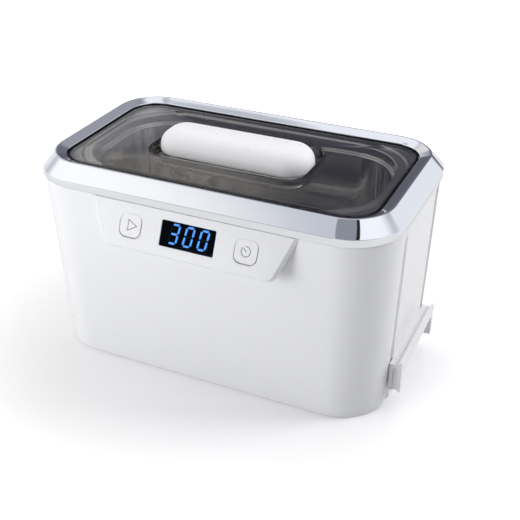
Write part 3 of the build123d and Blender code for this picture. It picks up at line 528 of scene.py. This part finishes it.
def make_handle():
    """The white grip: an elliptical crown over a small undercut, on its pedestal."""
    loops = [loop(PEDESTAL, z, GRIP_X) for z in (WELL_FLOOR_TOP, HANDLE_BOTTOM)]
    out, up = PEDESTAL_FLARE
    loops.append(loop(grown(PEDESTAL, out), HANDLE_BOTTOM + up, GRIP_X))
    half = HANDLE[1] / 2
    under = ((half - HANDLE_UNDER, 0, 0), (0, 0, HANDLE_UNDER_ROUND), (0, HANDLE_UNDER_RISE, 0))
    for inset, up in rounded(under, steps=8)[:-1]:
        loops.append(loop(grown(HANDLE, -inset), HANDLE_BOTTOM + HANDLE_GAP + up, GRIP_X))
    for step in range(1, HANDLE_STEPS + 1):
        angle = pi / 2 * step / HANDLE_STEPS
        across = max(cos(angle), 0.0) ** (2 / HANDLE_POWER)
        up = sin(angle) ** (2 / HANDLE_POWER)
        inset = min(half * (1 - across), half - HANDLE_RIDGE)
        height = HANDLE_SHOULDER + (HANDLE_TOP - HANDLE_SHOULDER) * up
        loops.append(loop(grown(HANDLE, -inset), height, GRIP_X))
    return skin("grip", loops, smooth_angle=40)


# ---- console ----------------------------------------------------------------------------------
NORMAL = Vector((0, -cos(FACE_TILT), sin(FACE_TILT)))
DOWN = Vector((0, -sin(FACE_TILT), -cos(FACE_TILT)))
FACE_ORIGIN = Vector((0, FACE_Y, RING_BOTTOM))


def on_face(x, v, depth=0.0):
    """A place on the console's face: x across, v down the slope, depth behind the face."""
    return FACE_ORIGIN + Vector((x, 0, 0)) + DOWN * v - NORMAL * depth


def face_loop(x, v, size, depth):
    """A rounded rectangle at a depth behind the console's face."""
    return [on_face(x + p.x, v - p.y, depth) for p in loop(size, 0, corner_steps=8)]


def wedge_loop(inset, place, top=BODY_TOP):
    """The console's outline, drawn in by inset, with place giving the Y of a point at height z."""
    run = FACE_LENGTH * cos(FACE_TILT)
    foot = RING_BOTTOM - run + inset
    pull = (CONSOLE_TOP_HALF - CONSOLE_BOTTOM_HALF) / run
    side = inset * sqrt(1 + pull * pull)

    def half_at(z):
        return CONSOLE_TOP_HALF - pull * (RING_BOTTOM - z) - side

    radius = max(CONSOLE_CORNER - inset, 0.5)
    corners = ((half_at(top), top, 0), (half_at(foot), foot, radius), (0, foot, 0))
    outer = [Vector(p) for p in rounded(corners, steps=14)]
    right = [outer[0].lerp(outer[1], step / CONSOLE_SIDE_STEPS) for step in range(CONSOLE_SIDE_STEPS)]
    right += outer[1:-1]
    left = [Vector((-p.x, p.y)) for p in reversed(right)]
    shares = [step / CONSOLE_LONG_STEPS for step in range(1, CONSOLE_LONG_STEPS)]
    bottom = [right[-1].lerp(left[0], share) for share in shares]
    head = [left[-1].lerp(right[0], share) for share in shares]
    return [Vector((p.x, place(p.y), p.y)) for p in right + bottom + left + head]


def face_y(z, depth):
    """The console's face, or a plane behind it, at height z."""
    return FACE_Y - tan(FACE_TILT) * (RING_BOTTOM - z) + depth / cos(FACE_TILT)


def wall_y(z):
    """The front of the case at height z."""
    return -body_size(z)[1] / 2 - CONSOLE_GAP


def make_console():
    """The wedge-shaped cover with its bevelled rim, window and key openings."""
    bevel = ((0, CONSOLE_BEVEL, CONSOLE_ROUND), (CONSOLE_BEVEL, 0, CONSOLE_ROUND))
    rim = rounded(((0, CONSOLE_RIM, 0), *bevel, (CONSOLE_RIM, 0, 0)), steps=4)
    loops = [wedge_loop(0, wall_y)]
    # near the top, where the rim would pass behind the wall, each loop stays just proud of it
    for inset, depth in rim[1:-1]:
        proud = HAIR * (CONSOLE_RIM - depth)
        loops.append(wedge_loop(inset, lambda z: min(face_y(z, depth), wall_y(z) - proud)))
    console = skin("console", loops)
    ends = (lambda z: HOLLOW_BACK, lambda z: face_y(z, FACE_WALL))
    hollow = [wedge_loop(CONSOLE_WALL, end, top=BODY_TOP - CONSOLE_WALL) for end in ends]
    cutters = [skin("console_hollow", hollow)]
    holes = [(WINDOW_X, WINDOW_V, WINDOW)]
    holes += [(side * KEY_X, KEY_V, grown(KEY, KEY_GAP)) for side in (-1, 1)]
    steps = ((HOLE_BEVEL, -CLEAR), (HOLE_BEVEL, -HAIR), (0, HOLE_BEVEL), (0, FACE_WALL + CLEAR))
    for index, (x, v, size) in enumerate(holes):
        loops = [face_loop(x, v, grown(size, by), depth) for by, depth in steps]
        cutters.append(skin(f"hole_{index}", loops))
    return cut(console, cutters, smooth_angle=28)


def make_lens():
    """The dark lens, flush with the console's face."""
    turn = LENS_BEVEL * 0.3
    steps = ((-LENS_BEVEL, 0), (-turn, turn), (0, LENS_BEVEL), (0, LENS))
    loops = [face_loop(WINDOW_X, WINDOW_V, grown(WINDOW, by - LENS_GAP), depth) for by, depth in steps]
    return skin("lens", loops, smooth_angle=12)


# ---- stage ------------------------------------------------------------------------------------
CAMERA_AZIMUTH = radians(24.5)
CAMERA_ELEVATION = radians(30.58)
CAMERA_DISTANCE = 521.3
CAMERA_LENS = 63.2
CAMERA_HEIGHT = 60.0                  # height of the point aimed at
CAMERA_SHIFT = (9.44, 9.47)           # how far right and down that point is moved


def make_camera():
    """The camera, looking down at the front and the right side."""
    back = Vector((
        sin(CAMERA_AZIMUTH) * cos(CAMERA_ELEVATION),
        -cos(CAMERA_AZIMUTH) * cos(CAMERA_ELEVATION),
        sin(CAMERA_ELEVATION),
    ))
    right = Vector((cos(CAMERA_AZIMUTH), sin(CAMERA_AZIMUTH), 0))
    up = back.cross(right)
    aim = Vector((0, 0, CAMERA_HEIGHT)) + right * CAMERA_SHIFT[0] - up * CAMERA_SHIFT[1]
    data = bpy.data.cameras.new("camera")
    data.lens = CAMERA_LENS
    data.sensor_width = 36
    data.clip_start = 0.01
    camera = bpy.data.objects.new("camera", data)
    bpy.context.scene.collection.objects.link(camera)
    place = Matrix((right, up, back)).transposed().to_4x4()
    place.translation = (aim + back * CAMERA_DISTANCE) * MM
    camera.matrix_world = place
    bpy.context.scene.camera = camera


# ---- materials --------------------------------------------------------------------------------
class Nodes:
    """A node tree with small helpers."""

    def __init__(self, tree):
        self.tree = tree

    def add(self, kind, **values):
        node = self.tree.nodes.new(kind)
        for key, value in values.items():
            setattr(node, key, value)
        return node

    def feed(self, socket, value):
        """Links an output to a socket, or gives the socket a constant."""
        if isinstance(value, bpy.types.NodeSocket):
            self.tree.links.new(value, socket)
        else:
            socket.default_value = value

    def maths(self, operation, *values):
        node = self.add("ShaderNodeMath", operation=operation)
        for socket, value in zip(node.inputs, values):
            self.feed(socket, value)
        return node.outputs["Value"]

    def ramp(self, value, span, ends, kind="LINEAR"):
        """A value moved from a span to the range between two ends."""
        node = self.add("ShaderNodeMapRange", interpolation_type=kind)
        for name, number in zip(("From Min", "From Max", "To Min", "To Max"), (*span, *ends)):
            node.inputs[name].default_value = number
        self.feed(node.inputs["Value"], value)
        return node.outputs["Result"]

    def blend(self, factor, a, b):
        """A colour part of the way from a to b."""
        node = self.add("ShaderNodeMix", data_type="RGBA")
        for name, value in (("Factor", factor), ("A", a), ("B", b)):
            self.feed(node.inputs[name], value)
        return node.outputs["Result"]


class Surface(Nodes):
    """A node material with procedural detail."""

    def __init__(self, name, color, roughness, metallic=0.0):
        self.material = bpy.data.materials.new(name)
        self.material.use_nodes = True
        super().__init__(self.material.node_tree)
        self.shader = self.tree.nodes["Principled BSDF"]
        self.set("Metallic", metallic).set("Roughness", roughness).set("Base Color", (*color, 1))
        self.color = color
        self.place = self.add("ShaderNodeTexCoord").outputs["Object"]

    def set(self, name, value):
        """Feeds one of the shader's sockets."""
        self.feed(self.shader.inputs[name], value)
        return self

    def noise(self, scale, stretch=(1, 1, 1), detail=3.0):
        """Noise in object space, in features per metre, drawn out by a stretch."""
        mapping = self.add("ShaderNodeMapping")
        self.feed(mapping.inputs["Scale"], stretch)
        self.feed(mapping.inputs["Vector"], self.place)
        texture = self.add("ShaderNodeTexNoise")
        self.feed(texture.inputs["Scale"], scale)
        self.feed(texture.inputs["Detail"], detail)
        self.feed(texture.inputs["Vector"], mapping.outputs["Vector"])
        return texture.outputs["Fac"]

    def spread(self, value, low_end, high_end):
        """The middle half of a noise moved to another range."""
        return self.ramp(value, (0.25, 0.75), (low_end, high_end))

    def rough(self, value, low_end, high_end):
        return self.set("Roughness", self.spread(value, low_end, high_end))

    def tint(self, value, other):
        """The base colour drifts towards another colour."""
        share = self.spread(value, 0.0, 1.0)
        return self.set("Base Color", self.blend(share, (*self.color, 1), (*other, 1)))

    def bump(self, value, depth):
        """Relief of a depth in metres."""
        node = self.add("ShaderNodeBump")
        self.feed(node.inputs["Distance"], depth)
        self.feed(node.inputs["Height"], value)
        return self.set("Normal", node.outputs["Normal"])


def moulded(name, color, gloss, peel=0.000004, other=None):
    """Moulded plastic: faint flow marks in its gloss and a very slight orange peel."""
    surface = Surface(name, color, gloss)
    surface.rough(surface.noise(160), gloss * 0.85, gloss * 1.2)
    surface.tint(surface.noise(14, detail=2), other or tuple(c * 0.985 for c in color))
    surface.bump(surface.noise(420, detail=2), peel)
    return surface


def grained(name, color, gloss, grain=1400, depth=0.00003, shine=0.5):
    """Plastic or rubber with a fine eroded grain."""
    surface = Surface(name, color, gloss).set("Specular IOR Level", shine)
    fine = surface.noise(grain, detail=4)
    surface.rough(fine, gloss * 0.85, min(gloss * 1.15, 1.0))
    surface.tint(surface.noise(90), tuple(c * 0.9 for c in color))
    surface.bump(fine, depth)
    return surface


def metal(name, color, gloss, scale=300, stretch=(1, 1, 1), depth=0.000004, wear=0.9):
    """Metal with drawn or turned streaks."""
    surface = Surface(name, color, gloss, metallic=1.0)
    streaks = surface.noise(scale, stretch, detail=4)
    surface.rough(streaks, gloss * 0.7, gloss * 1.35)
    surface.tint(surface.noise(60), tuple(c * wear for c in color))
    surface.bump(streaks, depth)
    return surface


def smoked():
    """Smoke-tinted clear polycarbonate."""
    surface = moulded("smoked_polycarbonate", (0.75, 0.735, 0.71), 0.01, peel=0.0000003)
    surface.rough(surface.noise(200), 0.0, 0.012)
    return surface.set("Transmission Weight", 1.0).set("IOR", 1.5)


def lens_tint():
    """Dark tinted acrylic."""
    surface = moulded("tinted_acrylic", (0.10, 0.12, 0.16), 0.02, peel=0.0000003)
    return surface.set("Transmission Weight", 1.0).set("IOR", 1.38)


def lit(name, color, strength):
    """A lit diffuser, slightly uneven."""
    surface = Surface(name, color, 0.4)
    surface.rough(surface.noise(900), 0.35, 0.5)
    glow = surface.spread(surface.noise(500), strength * 0.92, strength * 1.08)
    return surface.set("Emission Color", (*color, 1)).set("Emission Strength", glow)


WHITE = (0.84, 0.845, 0.86)
TURNED = (0.2, 0.2, 3)                # stretches of the streaks
WOUND = (0.1, 0.1, 4)
LAMINATED = (0.1, 4, 0.1)
DRAWN = (1, 1, 0.04)
MATERIALS = {
    "white_case": lambda: moulded("case_white", WHITE, 0.16),
    "white_console": lambda: moulded("console_white", WHITE, 0.2),
    "white_handle": lambda: moulded("grip_white", (0.90, 0.90, 0.92), 0.3),
    "white_key": lambda: moulded("key_white", WHITE, 0.26),
    "white_hook": lambda: moulded("hook_white", (0.82, 0.82, 0.84), 0.24),
    "base_plastic": lambda: grained("base_white", (0.72, 0.72, 0.74), 0.5),
    "screw_steel": lambda: metal("zinc_plate", (0.62, 0.62, 0.64), 0.3, 900),
    "foot_rubber": lambda: grained("foot_rubber", (0.05, 0.05, 0.05), 0.75, grain=2200),
    "chrome_trim": lambda: metal("chrome", (0.88, 0.89, 0.92), 0.035, 60, depth=0.000001, wear=0.98),
    "tank_steel": lambda: metal("drawn_steel", (0.62, 0.61, 0.59), 0.09, 260, DRAWN),
    "seal_rubber": lambda: grained("seal_silicone", (0.004,) * 3, 0.5, 1800, 0.00001, shine=0.1),
    "smoked_lid": smoked,
    "dark_lens": lens_tint,
    "module_black": lambda: grained("black_plastic", (0.006, 0.006, 0.007), 0.5, shine=0.06),
    "dark_segment": lambda: grained("unlit_bar", (0.012, 0.014, 0.02), 0.4),
    "icon_grey": lambda: grained("icon_ink", (0.16, 0.165, 0.18), 0.5),
    "board_green": lambda: moulded("solder_mask", (0.02, 0.13, 0.045), 0.3, other=(0.03, 0.2, 0.07)),
    "socket_cream": lambda: grained("nylon", (0.72, 0.67, 0.52), 0.45),
    "cable_grey": lambda: grained("flat_cable", (0.32, 0.32, 0.33), 0.45),
    "gland_rubber": lambda: grained("gland_rubber", (0.45, 0.45, 0.46), 0.6, grain=1800),
    "lead_red": lambda: moulded("red_insulation", (0.36, 0.015, 0.012), 0.35),
    "bare_aluminium": lambda: metal("turned_aluminium", (0.75, 0.75, 0.77), 0.28, 500, TURNED),
    "capacitor_sleeve": lambda: moulded("shrink_sleeve", (0.012, 0.02, 0.07), 0.25),
    "fuse_glass": lambda: moulded("fuse_ceramic", (0.7, 0.69, 0.64), 0.3),
    "copper_winding": lambda: metal("enamelled_copper", (0.6, 0.2, 0.06), 0.3, 900, WOUND),
    "core_iron": lambda: metal("laminated_core", (0.2, 0.2, 0.21), 0.5, 900, LAMINATED),
    "piezo_ceramic": lambda: grained("fired_ceramic", (0.42, 0.39, 0.3), 0.55),
    "contact_brass": lambda: metal("brass_sheet", (0.75, 0.52, 0.2), 0.28, 700),
    "mass_steel": lambda: metal("turned_steel", (0.42, 0.42, 0.43), 0.3, 500, TURNED),
    "lit_blue": lambda: lit("lit_blue", (0.13, 0.42, 1.0), 2.3),
}
finishes = {slot: make().material for slot, make in MATERIALS.items()}


def paint(thing, slot):
    """Gives a piece the material of one of the record's slots."""
    thing.data.materials.clear()
    thing.data.materials.append(finishes[slot])


def add_piece(thing, body, slot, *nodes):
    """A finished piece: its material, the body it rides on and the CAD nodes it stands for."""
    paint(thing, slot)
    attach(thing, body)
    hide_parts(*nodes)


# ---- floor and light --------------------------------------------------------------------------
FLOOR_REACH = 8.0
FLOOR_COLOR = (0.93, 0.93, 0.935)
FLOOR_GLOW_SPAN = (0.11, 0.30)        # distances from the middle, in metres
FLOOR_GLOW = (0.06, 0.58)             # the glow at those distances; the low one near the object is a painted shade round it
FLOOR_BOUNCE = (0.66, 0.66, 0.675)    # how much light it throws back on matt surfaces
FLOOR_MIRRORED = 0.76                 # how bright it is in the chrome


def make_floor():
    """A wide pale floor, glowing away from the object so that it meets the white behind, and left dim
    round the object as a painted shade added to its real shadow.
    """
    corners = [(FLOOR_REACH * sx, FLOOR_REACH * sy, 0) for sx, sy in QUARTERS]
    mesh = bpy.data.meshes.new("floor")
    mesh.from_pydata(corners, [], [(0, 1, 2, 3)])
    floor = bpy.data.objects.new("floor", mesh)
    bpy.context.scene.collection.objects.link(floor)
    floor.location.z = -0.0001
    surface = Surface("floor", FLOOR_COLOR, 0.12)
    surface.rough(surface.noise(30), 0.1, 0.16)
    away = surface.add("ShaderNodeVectorMath", operation="LENGTH")
    surface.feed(away.inputs[0], surface.place)
    # the glow stays low close to the object: painted shade round it, on top of the real shadow
    glow = surface.ramp(away.outputs["Value"], FLOOR_GLOW_SPAN, FLOOR_GLOW, "SMOOTHSTEP")
    path = surface.add("ShaderNodeLightPath").outputs
    seen = surface.maths("MULTIPLY", glow, path["Is Camera Ray"])
    glow = surface.maths("MULTIPLY_ADD", path["Is Glossy Ray"], FLOOR_MIRRORED, seen)
    surface.set("Emission Color", (1, 1, 1, 1)).set("Emission Strength", glow)
    # it throws back less light than it shows, as a lit table with dark cards round it
    shade = surface.blend(path["Is Diffuse Ray"], (*FLOOR_COLOR, 1), (*FLOOR_BOUNCE, 1))
    surface.set("Base Color", surface.blend(path["Is Glossy Ray"], shade, (0, 0, 0, 1)))
    floor.data.materials.append(surface.material)


# name, place and aim in metres, width and depth, watts
LAMPS = (
    ("overhead", (0.2, 0.8, 1.4), (0, 0, 0), (1.3, 1.3), 7),
    ("key", (-0.30, -0.52, 0.20), (-0.02, 0, 0.06), (0.35, 0.35), 1.9),
    ("side", (1.1, 0.6, 0.75), (0, 0, 0.06), (0.6, 0.8), 11),
)


def make_lamp(name, place, aim, size, power):
    """A soft rectangular lamp, unseen in mirrors and through glass."""
    data = bpy.data.lights.new(name, "AREA")
    data.shape = "RECTANGLE"
    data.energy = power
    data.size, data.size_y = size
    lamp = bpy.data.objects.new(name, data)
    bpy.context.scene.collection.objects.link(lamp)
    lamp.location = place
    lamp.rotation_euler = (Vector(place) - Vector(aim)).to_track_quat("Z", "Y").to_euler()
    lamp.visible_glossy = False
    lamp.visible_transmission = False


# soft patches of the studio round the object: direction, inner and outer angle in degrees, colour
STUDIO_BASE = (0.60, 0.62, 0.68)
STUDIO_PATCHES = (
    ((0.10, 0.86, 0.42), 26, 46, (0.16, 0.16, 0.21)),
    ((-0.80, 0.58, 0.00), 16, 32, (0.90, 0.90, 0.94)),
    ((0.60, 0.75, 0.22), 16, 26, (0.84, 0.87, 0.92)),
    ((0.62, -0.10, 0.78), 14, 34, (1.00, 1.02, 1.06)),
    ((0.66, -0.75, 0.00), 18, 42, (0.12, 0.12, 0.14)),
    ((-0.75, -0.38, 0.52), 16, 34, (1.10, 1.10, 1.10)),
    ((0.16, -0.42, 0.89), 15, 16, (0.02, 0.02, 0.02)),
    ((0.09, -0.44, 0.89), 14.5, 15.5, (0.28, 0.30, 0.34)),
    ((-0.36, -0.90, 0.25), 7, 16, (0.08, 0.10, 0.13)),
    ((-0.38, 0.30, 0.87), 14, 20, (0.92, 0.94, 1.00)),
    ((-0.41, 0.29, 0.87), 2, 6, (0.55, 0.57, 0.62)),
    ((-0.12, 0.68, 0.72), 6, 18, (0.34, 0.35, 0.40)),
    ((-0.50, 0.66, 0.56), 3, 12, (0.80, 0.78, 0.77)),
    ((-0.44, 0.89, 0.10), 5, 12, (0.12, 0.12, 0.15)),
)
# light that falls on matt surfaces: dimmer, and dark to the front right
FILL_DARK_SIDE = (0.72, -0.66, 0.0)
FILL_SPAN = (-0.3, 0.9)               # cosines of the angle to the dark side
FILL = (0.74, 0.18)                   # the light at those angles


def make_world():
    """A pale studio with soft darker and brighter patches, seen as plain white behind the object."""
    world = bpy.data.worlds.new("world")
    bpy.context.scene.world = world
    world.use_nodes = True
    nodes = Nodes(world.node_tree)
    direction = nodes.add("ShaderNodeTexCoord").outputs["Generated"]

    def facing(axis):
        """The cosine of the angle between a ray and an axis."""
        dot = nodes.add("ShaderNodeVectorMath", operation="DOT_PRODUCT")
        nodes.feed(dot.inputs[0], direction)
        nodes.feed(dot.inputs[1], Vector(axis).normalized())
        return dot.outputs["Value"]

    shade = (*STUDIO_BASE, 1)
    for axis, inner, outer, color in STUDIO_PATCHES:
        edges = (cos(radians(outer)), cos(radians(inner)))
        mask = nodes.ramp(facing(axis), edges, (0, 1), "SMOOTHSTEP")
        shade = nodes.blend(mask, shade, (*color, 1))
    path = nodes.add("ShaderNodeLightPath").outputs
    fill = nodes.ramp(facing(FILL_DARK_SIDE), FILL_SPAN, FILL)
    shade = nodes.blend(path["Is Diffuse Ray"], shade, fill)
    shade = nodes.blend(path["Is Camera Ray"], shade, (1, 1, 1, 1))
    nodes.feed(nodes.tree.nodes["Background"].inputs["Color"], shade)


# ---- the scene --------------------------------------------------------------------------------
make_camera()
for part in frame["record"]["subparts"]:
    node = frame["nodes"][part["node"]]
    paint(node, part["material_slot"])
    node.data.shade_smooth()

add_piece(make_case(), "housing", "white_case", "body_shell")
add_piece(make_ring(), "housing", "chrome_trim", "trim_ring")
add_piece(make_tank(), "housing", "tank_steel", "tank")
add_piece(make_console(), "housing", "white_console", "control_console")
lens = make_lens()
add_piece(lens, "housing", "dark_lens", "display_window")
lid = make_lid()
add_piece(lid, "lid", "smoked_lid", "lid_cover")
for clear in (lens, lid):
    clear.visible_shadow = False
add_piece(make_seal(), "lid", "seal_rubber", "lid_gasket")
add_piece(make_handle(), "lid", "white_handle", "lid_handle")

make_floor()
make_world()
for lamp in LAMPS:
    make_lamp(*lamp)
bpy.context.scene.view_settings.view_transform = "Standard"
